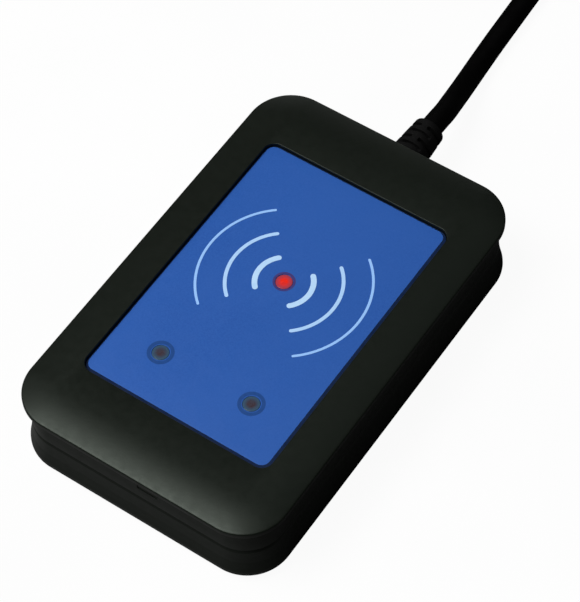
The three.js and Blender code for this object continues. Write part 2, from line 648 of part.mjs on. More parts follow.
// USB type A plug, lying flat on the coil with its mouth towards +Y
function plug() {
  const x = COIL_CENTRE[0] + PLUG.x;
  const rear = COIL_CENTRE[1] + PLUG.rearY;
  const gripBack = rear + PLUG.sleeve;
  const gripFront = gripBack + GRIP.length;
  const alongY = (shape, y0, y1) => {
    const geometry = slab(shape, y0, y1);
    geometry.rotateX(Math.PI / 2);
    geometry.rotateZ(Math.PI);
    geometry.translate(x, 0, PLUG.z);
    return geometry;
  };
  const section = roundedRect(GRIP.halfWidth, GRIP.halfHeight, GRIP.radius);
  const body = toSolid(alongY(section, gripBack, gripFront));
  const taper = turnedY([
    [0, rear], [2.9, rear], [3.5, rear + 3.5], [3.9, gripBack + 1], [0, gripBack + 1],
  ], x, PLUG.z);
  const fit = 0.3;
  const socket = block(
    x - SHELL.halfWidth - fit, x + SHELL.halfWidth + fit, gripFront - SHELL.seated - fit, gripFront + 1,
    PLUG.z - SHELL.halfHeight - fit, PLUG.z + SHELL.halfHeight + fit,
  );
  piece('plug_grip', toGeometry(addAll(body, [taper]).subtract(toSolid(socket))), FINISH.rubber);

  const shellBack = gripFront - SHELL.seated;
  const shellFront = gripFront + SHELL.exposed;
  const wall = roundedRect(SHELL.halfWidth, SHELL.halfHeight, 0.5);
  const innerX = SHELL.halfWidth - SHELL.wall;
  const innerZ = SHELL.halfHeight - SHELL.wall;
  wall.holes.push(roundedRect(innerX, innerZ, 0.2, 0, 0, new THREE.Path()));
  const windows = [-1, 1].map((side) => block(
    x + side * LATCH_WINDOW.x - LATCH_WINDOW.halfWidth, x + side * LATCH_WINDOW.x + LATCH_WINDOW.halfWidth,
    shellFront - LATCH_WINDOW.from, shellFront - LATCH_WINDOW.to, PLUG.z - 3, PLUG.z + 3,
  ));
  const shell = cutAll(toSolid(alongY(wall, shellBack, shellFront)), windows);
  piece('plug_shell', toGeometry(shell), FINISH.steel);

  const tongueTop = PLUG.z;
  const tongueFront = shellFront - 0.4;
  piece('plug_tongue', block(
    x - 5.5, x + 5.5, shellBack, tongueFront, tongueTop - innerZ + 0.1, tongueTop,
  ), FINISH.ivory);
  CONTACTS.forEach((offset, i) => {
    piece(`plug_contact_${i + 1}`, block(
      x + offset - 0.5, x + offset + 0.5, shellBack + 2, tongueFront - 1, tongueTop + SEAT, tongueTop + 0.3,
    ), FINISH.gold);
  });
}

topCover();
bottomCover();
frontFilm();
ratingPlate();
feet();
screws();
electronics();
lamps();
headerAndConnector();
leadAndClamp();
strainRelief();
leadAndCoil();
cordTie();
plug();

export default reader;
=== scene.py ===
import math

import bmesh
import bpy
from mathutils import Matrix, Vector
from mathutils.geometry import convex_hull_2d


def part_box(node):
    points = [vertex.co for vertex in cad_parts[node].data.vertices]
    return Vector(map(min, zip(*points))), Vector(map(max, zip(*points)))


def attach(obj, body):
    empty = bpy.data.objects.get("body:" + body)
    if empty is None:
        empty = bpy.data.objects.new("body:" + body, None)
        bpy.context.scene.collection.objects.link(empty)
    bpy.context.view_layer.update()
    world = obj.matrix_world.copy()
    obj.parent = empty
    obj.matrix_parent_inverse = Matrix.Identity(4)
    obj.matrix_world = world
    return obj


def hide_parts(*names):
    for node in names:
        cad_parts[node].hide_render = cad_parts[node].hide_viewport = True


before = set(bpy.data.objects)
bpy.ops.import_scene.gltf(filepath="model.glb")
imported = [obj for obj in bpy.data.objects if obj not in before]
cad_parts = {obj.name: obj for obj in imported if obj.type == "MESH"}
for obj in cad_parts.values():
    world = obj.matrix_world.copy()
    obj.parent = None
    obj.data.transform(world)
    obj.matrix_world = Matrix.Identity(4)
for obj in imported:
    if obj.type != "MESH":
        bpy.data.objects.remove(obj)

MM = 0.001
TURN = 2 * math.pi
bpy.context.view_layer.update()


def box_mm(node):
    """Lowest and highest corner of a CAD node, in millimetres."""
    low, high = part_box(node)
    return low / MM, high / MM


# ---------------------------------------------------------------- driving dimensions
TOP_LOW, TOP_HIGH = box_mm("top_cover")
BASE_LOW, BASE_HIGH = box_mm("bottom_cover")
FILM_LOW, FILM_HIGH = box_mm("front_film")
PLATE_LOW, PLATE_HIGH = box_mm("rating_plate")
WIDTH = TOP_HIGH.x - TOP_LOW.x
LENGTH = TOP_HIGH.y - TOP_LOW.y
CORNER_RADIUS = 8.9
CORNER_STEPS = 22
PARTING_Z = 9.5
PARTING_GAP = 0.3
PARTING_INSET = 0.95
LIP_TOP_Z = 17.0
LIP_EDGE = 0.35
CROWN_WIDTH = 7.5
CROWN_START = 0.6
CROWN_END = CROWN_WIDTH - 0.4
CROWN_STEPS = 20
CAVITY_INSET = 3.3
FLOOR_Z = 2.6
CEILING_Z = 14.6
BASE_EDGE = (2.0, 1.8)
# inset at which a cover's inner face is closed by one flat face
INNER_FACE_INSET = 8
# shallow recess in the front wall: sides, height and depth
FRONT_SLOT = {"left": 1.0, "right": 5.4, "low": 12, "high": 13.5, "inset": 1.3, "depth": 0.03}

POCKET_GAP = 0.15
POCKET_FLOOR_Z = 16.75
POCKET_RADIUS = 2.3
POCKET_EDGE = 0.13
LENS_RADIUS = 1.6
OPENING_RADIUS = 1.66
LENSES = {"centre": (0, 5.2), "left": (-10.04, -19.86), "right": (10.04, -19.86)}

SCREW_PLACES = [(-20.3, -35.8), (20.3, -35.8), (-20.3, 35.8), (20.3, 35.8)]
FOOT_PLACES = [(-19.5, -26.5), (19.5, -26.5), (-19.5, 26.5), (19.5, 26.5)]
BOARD_POSTS = [(-19.8, 26.5), (19.8, 26.5)]
BOARD_RESTS = [(-12, -35), (12, -35)]
BOARD_REST_Z = 5.55
PLATE_GAP = 0.3
# edges softer than this many degrees are shaded smooth
SHARP_ANGLE = 32

EXIT_X = 0.35
EXIT_Z = PARTING_Z
CORD_RADIUS = 2.3
CORD_EXIT_Y = LENGTH / 2 - PARTING_INSET

RELIEF = {"flange": 4.2, "neck": 2.8, "base": 4, "tip": 3.2, "taper": 0.8}
BEND_SLOTS = {"first": 47.7, "pitch": 1.77, "rows": 4, "half_span": 2.3, "bridge": 0.9}
# across one slot: distance from its middle, and depth
SLOT_PROFILE = [(-0.52, 0), (-0.42, 0.12), (-0.34, 0.75), (0.34, 0.75), (0.42, 0.12), (0.52, 0)]

# free stretch of the lead, after a straight start inside the strain relief
CORD_ROUTE = [
    (0.35, 43.05, 9.5), (0.35, 48, 9.5), (0.35, 52, 9.5),
    (0.35, 55.1, 9.5), (0.31, 58, 9.2), (0, 61.2, 8.2), (-0.65, 64.5, 6.85), (-1.35, 67.8, 5.4),
    (-2, 71, 4.1), (-2.55, 74.2, 3.15), (-3, 77.6, 2.55), (-3.3, 81, 2.32), (-3.6, 86, 2.3),
    (-3.95, 94, 2.3), (-4.3, 102, 2.3), (-4.6, 109, 2.3), (-5, 118.3, 2.3),
]
COIL_CENTRE = Vector((-36.05, 126.65, 0))
COIL_START = 2.5
COIL_RADII = (30.65, 16.55)
COIL_TURNS = 3
COIL_LAYERS = 4
LAYER_PITCH = 4.63
STEPS_PER_TURN = 60
TIE_LIFT = 0.45
TIE_THICKNESS = 0.6
# last stretch, lying on the coil, measured from the coil's centre
TAIL_BEND = {"x": 0.526, "y": -12.04, "radius": 18.6, "from": -87.5, "to": -52}
TAIL_ROUTE = [
    (12.3, -26.4, 21.15), (14.8, -23.8, 21.2), (16.9, -20.9, 21.45), (18.3, -17.6, 21.95),
    (19, -14.6, 22.5), (19.15, -11.9, 22.85), (19.15, -9.4, 22.85),
]
PLUG_X = COIL_CENTRE.x + 19.15
PLUG_REAR_Y = COIL_CENTRE.y - 11.6
PLUG_Z = 22.85
PLUG_SLEEVE_LENGTH = 6.5
# ribs of the plug's sleeve: radius, distance from its rear, fillet
PLUG_RIBS = [
    (2.9, 0, 0.15), (2.95, 1, 0.1), (2.7, 1.3, 0.1), (2.75, 1.8, 0.1), (3.2, 2.1, 0.1), (3.25, 3.1, 0.1),
    (2.95, 3.4, 0.1), (3, 3.9, 0.1), (3.5, 4.2, 0.1), (3.6, 5.2, 0.1), (3.3, 5.5, 0.1),
]

# print on the film: radius and stroke of each arc, half its angle, and the rings round the lights,
# printed round the grey lenses and painted shadow round the red one
WAVES = [(5.49, 1.06), (10.99, 0.7), (16.49, 0.5)]
WAVE_REACH = math.radians(51)
DARK_RINGS = [("left", 1.85, 2.55), ("right", 1.85, 2.55), ("centre", 1.7, 2.15)]
# height of print and painted shade above the film, and how far the painted shade along its edge reaches
# down
INK_AND_SHADE_HEIGHT = 0.03
EDGE_SHADE_DEPTH = 0.1
# painted shade along the film's edge: its width, and how far its inner side is moved to the left and
# back
BORDER_WIDTH = 0.45
BORDER_SHIFT = 0.26


def added(thing):
    """Puts an object into the scene."""
    bpy.context.scene.collection.objects.link(thing)
    return thing


# ---------------------------------------------------------------- camera
CAMERA = {"azimuth": 37.19, "elevation": 55.83, "roll": -3.54, "distance": 462.68, "lens": 147.44}
CAMERA_TARGET = Vector((-0.02, 6.66, 9.0))


def add_camera():
    azimuth, elevation, roll = (math.radians(CAMERA[k]) for k in ("azimuth", "elevation", "roll"))
    back = Vector((
        math.sin(azimuth) * math.cos(elevation),
        -math.cos(azimuth) * math.cos(elevation),
        math.sin(elevation),
    ))
    right = Vector((math.cos(azimuth), math.sin(azimuth), 0))
    up = back.cross(right)
    side = math.cos(roll) * right + math.sin(roll) * up
    top = -math.sin(roll) * right + math.cos(roll) * up
    data = bpy.data.cameras.new("camera")
    data.lens = CAMERA["lens"]
    data.sensor_width = 36
    data.clip_start = 0.01
    data.clip_end = 20
    camera = bpy.data.objects.new("camera", data)
    facing = Matrix((side, top, back)).transposed().to_4x4()
    place = (CAMERA_TARGET + back * CAMERA["distance"]) * MM
    camera.matrix_world = Matrix.Translation(place) @ facing
    bpy.context.scene.camera = added(camera)


# ---------------------------------------------------------------- shape helpers
def make(name, verts, faces):
    """A mesh object from points in millimetres, with its faces pointing out."""
    mesh = bpy.data.meshes.new(name)
    mesh.from_pydata([[c * MM for c in v] for v in verts], [], faces)
    work = bmesh.new()
    work.from_mesh(mesh)
    bmesh.ops.remove_doubles(work, verts=work.verts, dist=1e-8)
    bmesh.ops.recalc_face_normals(work, faces=work.faces)
    work.to_mesh(mesh)
    work.free()
    return added(bpy.data.objects.new(name, mesh))


def skin(rings, closed=False):
    """Points and faces through rings of one count, capped at both ends or closed on itself."""
    count = len(rings[0])
    verts = [point for ring in rings for point in ring]
    total = len(verts)
    faces = []
    for ring in range(len(rings) if closed else len(rings) - 1):
        for i in range(count):
            a = ring * count + i
            b = ring * count + (i + 1) % count
            faces.append((a, b, (b + count) % total, (a + count) % total))
    if not closed:
        faces.append(list(range(count))[::-1])
        faces.append(list(range(total - count, total)))
    return verts, faces


def rounded(half_x, half_y, radius, x=0.0, y=0.0, steps=CORNER_STEPS):
    """Points round a rectangle with round corners."""
    points = []
    for corner, (side_x, side_y) in enumerate(((1, 1), (-1, 1), (-1, -1), (1, -1))):
        for step in range(steps + 1):
            angle = (corner + step / steps) * TURN / 4
            points.append((
                x + side_x * (half_x - radius) + radius * math.cos(angle),
                y + side_y * (half_y - radius) + radius * math.sin(angle),
            ))
    return points


def circle(radius, x=0.0, y=0.0, sides=48):
    return [(x + radius * math.cos(TURN * i / sides), y + radius * math.sin(TURN * i / sides))
            for i in range(sides)]


def at_z(points, z):
    return [(x, y, z) for x, y in points]


def fillets(corners, steps=5):
    """A line through corners given as (a, b, radius), each inner one rounded to its radius."""
    line = [tuple(corners[0][:2])]
    for before, here, after in zip(corners, corners[1:], corners[2:]):
        corner = Vector(here[:2])
        to_before = Vector(before[:2]) - corner
        to_after = Vector(after[:2]) - corner
        half = to_before.angle(to_after) / 2
        cut = min(here[2] / math.tan(half), 0.48 * to_before.length, 0.48 * to_after.length)
        if cut < 1e-4:
            line.append(tuple(corner))
            continue
        start = corner + to_before.normalized() * cut
        end = corner + to_after.normalized() * cut
        for step in range(steps + 1):
            t = step / steps
            line.append(tuple((1 - t) ** 2 * start + 2 * t * (1 - t) * corner + t * t * end))
    line.append(tuple(corners[-1][:2]))
    return line


def quarter(width, height, steps):
    """A quarter ellipse as (inwards, upwards) from (0, 0)."""
    angles = [step / steps * TURN / 4 for step in range(steps + 1)]
    return [(width * (1 - math.cos(a)), height * math.sin(a)) for a in angles]


def housing_ring(inset, z):
    """The housing's outline at a height, moved inwards by inset."""
    return at_z(rounded(WIDTH / 2 - inset, LENGTH / 2 - inset, CORNER_RADIUS - inset), z)


def post(radius, x, y, z0, z1, sides=48):
    ring = circle(radius, x, y, sides)
    return make("tool", *skin([at_z(ring, z0), at_z(ring, z1)]))


def block(x0, x1, y0, y1, z0, z1):
    ring = [(x0, y0), (x1, y0), (x1, y1), (x0, y1)]
    return make("tool", *skin([at_z(ring, z0), at_z(ring, z1)]))


def along_y(ring, y, x=0.0, z=0.0):
    """A flat ring of (across, up) points stood up across the Y axis."""
    return [(x + a, y, z + b) for a, b in ring]


def drill(radius, y0, y1, z, x=0.0, sides=64):
    ring = circle(radius, sides=sides)
    return make("tool", *skin([along_y(ring, y0, x, z), along_y(ring, y1, x, z)]))


def turned(name, profile, x, y, sides=48):
    """A profile of (radius, height) turned about a vertical line."""
    return make(name, *skin([at_z(circle(r, x, y, sides), z) for r, z in profile]))


def combine(piece, tools, operation):
    """Joins the tools to the piece, or cuts them from it, and removes them."""
    for tool in tools:
        change = piece.modifiers.new("change", "BOOLEAN")
        change.operation = operation
        change.solver = "EXACT"
        change.object = tool
        graph = bpy.context.evaluated_depsgraph_get()
        mesh = bpy.data.meshes.new_from_object(piece.evaluated_get(graph))
        piece.modifiers.clear()
        piece.data = mesh
        bpy.data.objects.remove(tool)
    return piece


def together(tools):
    """One object from several that don't touch, so that one boolean takes them all."""
    work = bmesh.new()
    for tool in tools:
        work.from_mesh(tool.data)
        bpy.data.objects.remove(tool)
    mesh = bpy.data.meshes.new("tool")
    work.to_mesh(mesh)
    work.free()
    return added(bpy.data.objects.new("tool", mesh))


def settle(piece, look, stands_for=()):
    """Gives a finished piece its material and shading, and puts it on the housing's body."""
    piece.data.materials.clear()
    piece.data.materials.append(look)
    if piece.type == "MESH":
        piece.data.shade_smooth()
        piece.data.set_sharp_from_angle(angle=math.radians(SHARP_ANGLE))
    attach(piece, "root")
    if stands_for:
        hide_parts(*stands_for)
    return piece


# ---------------------------------------------------------------- material helpers
def linear(red, green, blue):
    """A colour given as 0 to 255 on a screen, as the shader wants it."""
    def one(value):
        share = value / 255
        return share / 12.92 if share <= 0.04045 else ((share + 0.055) / 1.055) ** 2.4
    return one(red), one(green), one(blue), 1.0


class Look:
    """A Principled material built up from procedural patterns in the piece's own space."""

    def __init__(self, name):
        self.material = bpy.data.materials.new(name)
        self.material.use_nodes = True
        self.tree = self.material.node_tree
        self.shader = self.tree.nodes["Principled BSDF"]
        self.place = self.tree.nodes.new("ShaderNodeTexCoord").outputs["Object"]

    def node(self, kind, **settings):
        made = self.tree.nodes.new(kind)
        for key, value in settings.items():
            setattr(made, key, value)
        return made

    def link(self, source, target):
        self.tree.links.new(source, target)

    def stretched(self, scale):
        mapping = self.node("ShaderNodeMapping")
        mapping.inputs["Scale"].default_value = scale
        self.link(self.place, mapping.inputs["Vector"])
        return mapping.outputs["Vector"]

    def noise(self, size, detail=3.0, stretch=None):
        """Noise whose patches are about size millimetres across."""
        texture = self.node("ShaderNodeTexNoise")
        texture.inputs["Scale"].default_value = 1 / (size * MM)
        texture.inputs["Detail"].default_value = detail
        self.link(self.stretched(stretch) if stretch else self.place, texture.inputs["Vector"])
        return texture.outputs["Fac"]

    def cells(self, size, stretch=None):
        texture = self.node("ShaderNodeTexVoronoi", feature="SMOOTH_F1")
        texture.inputs["Scale"].default_value = 1 / (size * MM)
        self.link(self.stretched(stretch) if stretch else self.place, texture.inputs["Vector"])
        return texture.outputs["Distance"]

    def spread(self, value, low, high, from_low=0.3, from_high=0.7):
        scaled = self.node("ShaderNodeMapRange")
        for key, number in zip(("From Min", "From Max", "To Min", "To Max"),
                               (from_low, from_high, low, high)):
            scaled.inputs[key].default_value = number
        self.link(value, scaled.inputs["Value"])
        return scaled.outputs["Result"]

    def mixed(self, share, first, second):
        """Two colours, or a colour over a colour socket, mixed by a value."""
        mix = self.node("ShaderNodeMix", data_type="RGBA")
        self.link(share, mix.inputs["Factor"])
        for key, colour in (("A", first), ("B", second)):
            socket = next(s for s in mix.inputs if s.name == key and s.type == "RGBA")
            if isinstance(colour, bpy.types.NodeSocket):
                self.link(colour, socket)
            else:
                socket.default_value = colour
        return next(s for s in mix.outputs if s.type == "RGBA")

    def mottled(self, size, first, second, detail=3.0):
        """Two colours in soft patches about size millimetres across."""
        return self.mixed(self.spread(self.noise(size, detail), 0, 1), first, second)

    def edges(self):
        """Near 1 where the surface turns sharply outwards, at an edge."""
        return self.spread(self.node("ShaderNodeNewGeometry").outputs["Pointiness"], 0, 1, 0.515, 0.56)

    def colour(self, socket):
        self.link(socket, self.shader.inputs["Base Color"])

    def roughness(self, socket):
        self.link(socket, self.shader.inputs["Roughness"])

    def bump(self, height, depth, strength=1.0, under=None):
        """Relief of about depth millimetres; under is another bump that this one lies on."""
        bump = self.node("ShaderNodeBump")
        bump.inputs["Distance"].default_value = depth * MM
        bump.inputs["Strength"].default_value = strength
        self.link(height, bump.inputs["Height"])
        if under:
            self.link(under, bump.inputs["Normal"])
        self.link(bump.outputs["Normal"], self.shader.inputs["Normal"])
        return bump.outputs["Normal"]

    def set(self, **values):
        for key, value in values.items():
            self.shader.inputs[key.replace("_", " ")].default_value = value
        return self


# ---------------------------------------------------------------- materials
def moulded_plastic():
    """Black moulded plastic with a fine spark-eroded grain."""
    look = Look("moulded_plastic").set(**{
        "Specular IOR Level": 0.26, "Specular Tint": (0.88, 1, 0.88, 1),
    })
    tone = look.mottled(9, linear(8, 12, 8), linear(11, 15, 10))
    speck = look.mottled(0.35, tone, linear(12, 16, 11), detail=2)
    # the lip, the seam and the base edge are lighter, partly as wear and partly as a painted highlight,
    # and the level top of the rim isn't
    height = look.node("ShaderNodeSeparateXYZ")
    look.link(look.place, height.inputs["Vector"])
    below_crown = look.spread(height.outputs["Z"], 1, 0, 17.5 * MM, 17.7 * MM)
    wear_and_highlight = look.node("ShaderNodeMath", operation="MULTIPLY")
    look.link(look.edges(), wear_and_highlight.inputs[0])
    look.link(below_crown, wear_and_highlight.inputs[1])
    look.colour(look.mixed(wear_and_highlight.outputs["Value"], speck, linear(23, 28, 23)))
    look.roughness(look.spread(look.noise(1.4), 0.38, 0.44))
    coarse = look.bump(look.noise(14, 1), 0.05, 0.35)
    look.bump(look.cells(0.22), 0.012, 0.35, under=coarse)
    return look.material


def printed_film():
    """Blue overlay film: fine satin texture, slightly uneven ink."""
    look = Look("printed_film").set(**{"Specular IOR Level": 0.2})
    tone = look.mottled(26, linear(39, 85, 164), linear(45, 91, 170), detail=2)
    look.colour(look.mottled(0.3, tone, linear(48, 94, 173), detail=2))
    look.roughness(look.spread(look.noise(2.2), 0.34, 0.42))
    look.bump(look.noise(0.16, 2), 0.004, 0.4)
    return look.material


def white_ink():
    """Thin white ink, which lets more blue through in the finer outer arcs."""
    look = Look("white_ink").set(**{"Specular IOR Level": 0.3})
    tone = look.mottled(1.1, linear(180, 216, 252), linear(190, 224, 255))
    from_light = look.node("ShaderNodeVectorMath", operation="DISTANCE")
    from_light.inputs[1].default_value = Vector((*LENSES["centre"], FILM_HIGH.z)) * MM
    look.link(look.place, from_light.inputs[0])
    fine = look.spread(from_light.outputs["Value"], 0, 1, 8.5 * MM, 16 * MM)
    look.colour(look.mixed(fine, tone, linear(152, 197, 253)))
    look.roughness(look.spread(look.noise(2), 0.35, 0.45))
    look.bump(look.noise(0.16, 2), 0.004, 0.4)
    return look.material


def dark_ink_and_shade(name, dark, light):
    """Opaque dark colour: ink of the rings round the grey lenses, and painted shade round the red lens
    and along the film's edge.
    """
    look = Look(name).set(**{"Specular IOR Level": 0.2})
    look.colour(look.mottled(0.8, dark, light))
    look.roughness(look.spread(look.noise(2), 0.35, 0.45))
    look.bump(look.noise(0.16, 2), 0.004, 0.4)
    return look.material


def lens_look(name, centre, core, rim, core_radius, glow=0.0):
    """Tinted lens that shows a round core below its surface."""
    look = Look(name).set(**{"Specular IOR Level": 0.3})
    offset = look.node("ShaderNodeVectorMath", operation="SUBTRACT")
    offset.inputs[1].default_value = (centre[0] * MM, centre[1] * MM, 0)
    look.link(look.place, offset.inputs[0])
    flat = look.node("ShaderNodeVectorMath", operation="MULTIPLY")
    flat.inputs[1].default_value = (1, 1, 0)
    look.link(offset.outputs["Vector"], flat.inputs[0])
    reach = look.node("ShaderNodeVectorMath", operation="LENGTH")
    look.link(flat.outputs["Vector"], reach.inputs[0])
    inner, outer = (core_radius - 0.4) * MM, (core_radius + 0.4) * MM
    share = look.spread(reach.outputs["Value"], 0, 1, inner, outer)
    cloudy = look.mixed(look.spread(look.noise(0.5), 0, 0.3), core, rim)
    shown = look.mixed(share, cloudy, rim)
    look.colour(shown)
    look.roughness(look.spread(look.noise(0.7), 0.2, 0.3))
    look.bump(look.noise(0.5, 1), 0.01, 0.3)
    if glow:
        look.link(shown, look.shader.inputs["Emission Color"])
        look.set(**{"Emission Strength": glow})
    return look.material


def soft_rubber(name, dark, light, grain=0.4):
    """Matt elastomer with a fine moulded texture."""
    look = Look(name).set(**{"Specular IOR Level": 0.12})
    look.colour(look.mottled(3, dark, light))
    look.roughness(look.spread(look.noise(1.2), 0.55, 0.7))
    look.bump(look.noise(grain, 3), 0.015, 0.4)
    return look.material


def cord_jacket():
    """Extruded jacket with a slight bloom."""
    look = Look("cord_jacket").set(**{"Specular IOR Level": 0.04})
    look.colour(look.mottled(5, linear(2, 2, 2), linear(5, 5, 5)))
    look.roughness(look.spread(look.noise(1.5), 0.5, 0.62))
    look.bump(look.noise(0.5, 3), 0.012, 0.4)
    return look.material


def brushed_steel(name, dark, light, stretch=(1, 0.06, 1)):
    """Plated metal with drawing marks along stretch's shortest axis."""
    look = Look(name).set(Metallic=1.0)
    look.colour(look.mottled(2.5, dark, light))
    look.roughness(look.spread(look.noise(0.25, 2, stretch), 0.24, 0.42))
    look.bump(look.noise(0.2, 2, stretch), 0.004, 0.4)
    return look.material


def hard_plastic(name, dark, light, rough=(0.4, 0.52)):
    """Moulded plastic or resin of a small part."""
    look = Look(name)
    look.colour(look.mottled(1.6, dark, light))
    look.roughness(look.spread(look.noise(0.8), *rough))
    look.bump(look.noise(0.3, 3), 0.006, 0.4)
    return look.material


def board_look():
    """Green solder mask over copper tracks."""
    look = Look("solder_mask").set(**{"Specular IOR Level": 0.5})
    tracks = look.node("ShaderNodeTexBrick", offset=0.37)
    look.link(look.place, tracks.inputs["Vector"])
    for key, value in (("Scale", 1 / (14 * MM)), ("Mortar Size", 0.018), ("Brick Width", 0.62),
                       ("Row Height", 0.17)):
        tracks.inputs[key].default_value = value
    copper = look.mixed(tracks.outputs["Fac"], linear(22, 84, 46), linear(52, 124, 66))
    look.colour(look.mixed(look.spread(look.noise(6), 0, 0.5), copper, linear(16, 66, 38)))
    look.roughness(look.spread(look.noise(1.5), 0.28, 0.4))
    look.bump(tracks.outputs["Fac"], 0.03, 0.6)
    return look.material


def winding_look():
    """Enamelled wire laid side by side."""
    look = Look("enamelled_wire").set(Metallic=0.8)
    look.colour(look.mottled(1.2, linear(150, 82, 42), linear(196, 118, 66)))
    look.roughness(look.spread(look.noise(0.6), 0.25, 0.4))
    look.bump(look.cells(0.35, (1, 1, 0.4)), 0.06, 0.6)
    return look.material


def plate_look():
    """Matt silver label stock."""
    look = Look("label_stock").set(Metallic=0.35)
    look.colour(look.mottled(5, linear(176, 180, 184), linear(196, 199, 202)))
    rolled = (0.05, 1, 1)
    look.roughness(look.spread(look.noise(0.3, 2, rolled), 0.38, 0.52))
    look.bump(look.noise(0.25, 2, rolled), 0.004, 0.4)
    return look.material


def strap_look():
    """Hook-and-loop strap: a mat of tiny loops."""
    look = Look("loop_strap").set(**{"Specular IOR Level": 0.1, "Sheen Weight": 0.1})
    look.colour(look.mottled(0.4, linear(12, 12, 13), linear(26, 26, 28), detail=4))
    look.roughness(look.spread(look.noise(0.6), 0.8, 0.95))
    look.bump(look.cells(0.28), 0.12, 0.9)
    return look.material


PLASTIC = moulded_plastic()
FILM = printed_film()
WHITE_INK = white_ink()
RING_INK = dark_ink_and_shade("ring_ink", linear(28, 68, 130), linear(33, 73, 137))
# the ring round the red light is painted shadow of its opening's wall
RED_RING_SHADOW = dark_ink_and_shade("red_ring_painted_shadow", linear(62, 54, 112), linear(68, 60, 120))
# painted shade along the film's edge, where the gap to the pocket wall lies in shadow
EDGE_SHADE_PAINT = dark_ink_and_shade("film_edge_painted_shade", linear(5, 25, 57), linear(8, 31, 67))
RUBBER = soft_rubber("relief_rubber", linear(6, 6, 6), linear(10, 10, 10))
FOOT_RUBBER = soft_rubber("foot_rubber", linear(24, 24, 25), linear(34, 34, 35), 0.7)
GRIP_RUBBER = soft_rubber("grip_plastic", linear(14, 14, 15), linear(20, 20, 21))
JACKET = cord_jacket()
STEEL = brushed_steel("nickel_steel", linear(168, 170, 172), linear(206, 208, 210))
SCREW_STEEL = brushed_steel("screw_steel", linear(120, 122, 126), linear(172, 174, 178), (1, 1, 1))
GOLD = brushed_steel("gold_contact", linear(206, 160, 70), linear(236, 192, 104))
IVORY = hard_plastic("ivory_plastic", linear(214, 208, 190), linear(232, 227, 211))
CHIP = hard_plastic("chip_epoxy", linear(20, 21, 22), linear(32, 33, 35), (0.45, 0.6))
BLACK_PLASTIC = hard_plastic("sounder_plastic", linear(16, 16, 17), linear(26, 26, 28))
LAMP = hard_plastic("lamp_resin", linear(222, 218, 204), linear(240, 237, 226), (0.2, 0.3))
BOARD = board_look()
WINDING = winding_look()
PLATE = plate_look()
STRAP = strap_look()


# ---------------------------------------------------------------- lead
def smooth_step(share):
    share = min(max(share, 0.0), 1.0)
    return share * share * (3 - 2 * share)


def through(points, steps):
    """A smooth curve through the points."""
    points = [Vector(p) for p in points]
    ends = [2 * points[0] - points[1], *points, 2 * points[-1] - points[-2]]
    line = []
    for p0, p1, p2, p3 in zip(ends, ends[1:], ends[2:], ends[3:]):
        for step in range(steps):
            t = step / steps
            line.append(0.5 * (
                2 * p1 + (p2 - p0) * t + (2 * p0 - 5 * p1 + 4 * p2 - p3) * t ** 2
                + (3 * p1 - p0 - 3 * p2 + p3) * t ** 3
            ))
    line.append(points[-1])
    return line


def on_coil(angle, radius, z):
    """A point of the coil, lifted a little where the tie passes under it."""
    across = radius * math.sin(math.radians(angle))
    outwards = radius * math.cos(math.radians(angle))
    near = smooth_step((9 - abs(across)) / 6) if outwards < 0 else 0
    return COIL_CENTRE + Vector((outwards, across, z + TIE_LIFT * near))


def coil_turns():
    """The wound part: layers that spiral in and out by turns, with a quarter turn to climb each."""
    line = []
    angle = COIL_START
    rise_from = 1 - 68 / (360 * COIL_TURNS)
    top = CORD_RADIUS + (COIL_LAYERS - 1) * LAYER_PITCH
    for layer in range(COIL_LAYERS):
        first, last = COIL_RADII if layer % 2 == 0 else COIL_RADII[::-1]
        z = CORD_RADIUS + layer * LAYER_PITCH
        steps = COIL_TURNS * STEPS_PER_TURN
        for step in range(steps):
            share = step / steps
            radius = first + (last - first) * share
            lift = 0
            if layer == COIL_LAYERS - 1:
                lift = (TAIL_ROUTE[0][2] - top) * smooth_step((share - rise_from) / (1 - rise_from))
            line.append(on_coil(angle + 360 * COIL_TURNS * share, radius, z + lift))
        angle += 360 * COIL_TURNS
        if layer < COIL_LAYERS - 1:
            climb = STEPS_PER_TURN // 4
            for step in range(climb):
                share = step / climb
                line.append(on_coil(angle + 90 * share, last, z + LAYER_PITCH * smooth_step(share)))
            angle += 90
    return line


def tail_bend():
    """From the coil's last turn to the first point of the tail."""
    steps = 9
    line = []
    for step in range(steps):
        turn = (TAIL_BEND["to"] - TAIL_BEND["from"]) * step / steps
        angle = math.radians(TAIL_BEND["from"] + turn)
        line.append(COIL_CENTRE + Vector((
            TAIL_BEND["x"] + TAIL_BEND["radius"] * math.cos(angle),
            TAIL_BEND["y"] + TAIL_BEND["radius"] * math.sin(angle),
            TAIL_ROUTE[0][2],
        )))
    return line


def usb_lead():
    tail = [COIL_CENTRE + Vector(point) for point in TAIL_ROUTE]
    line = through(CORD_ROUTE, 4) + coil_turns() + tail_bend() + through(tail, 3)
    curve = bpy.data.curves.new("usb_lead", "CURVE")
    curve.dimensions = "3D"
    curve.bevel_depth = CORD_RADIUS * MM
    curve.bevel_resolution = 6
    curve.use_fill_caps = True
    spline = curve.splines.new("POLY")
    spline.points.add(len(line) - 1)
    for point, place in zip(spline.points, line):
        point.co = (*(place * MM), 1)
    spline.use_smooth = True
    lead = added(bpy.data.objects.new("usb_lead", curve))
    return settle(lead, JACKET, ["usb_cord", "cord_coil", "cord_tail"])


def slotted_ring(radius, depth, y, row):
    """Outline of the sleeve: rows open above and below, and at the sides, by turns."""
    outline = []
    for point_x, point_z in circle(radius, sides=96):
        across = abs(point_x)
        if row % 2 == 0:
            past_edge = BEND_SLOTS["half_span"] - across
        else:
            past_edge = across - BEND_SLOTS["bridge"]
        root = 1 - depth * smooth_step(past_edge / 0.3 + 0.5) / radius
        outline.append((point_x * root, point_z * root))
    return along_y(outline, y, EXIT_X, EXIT_Z)


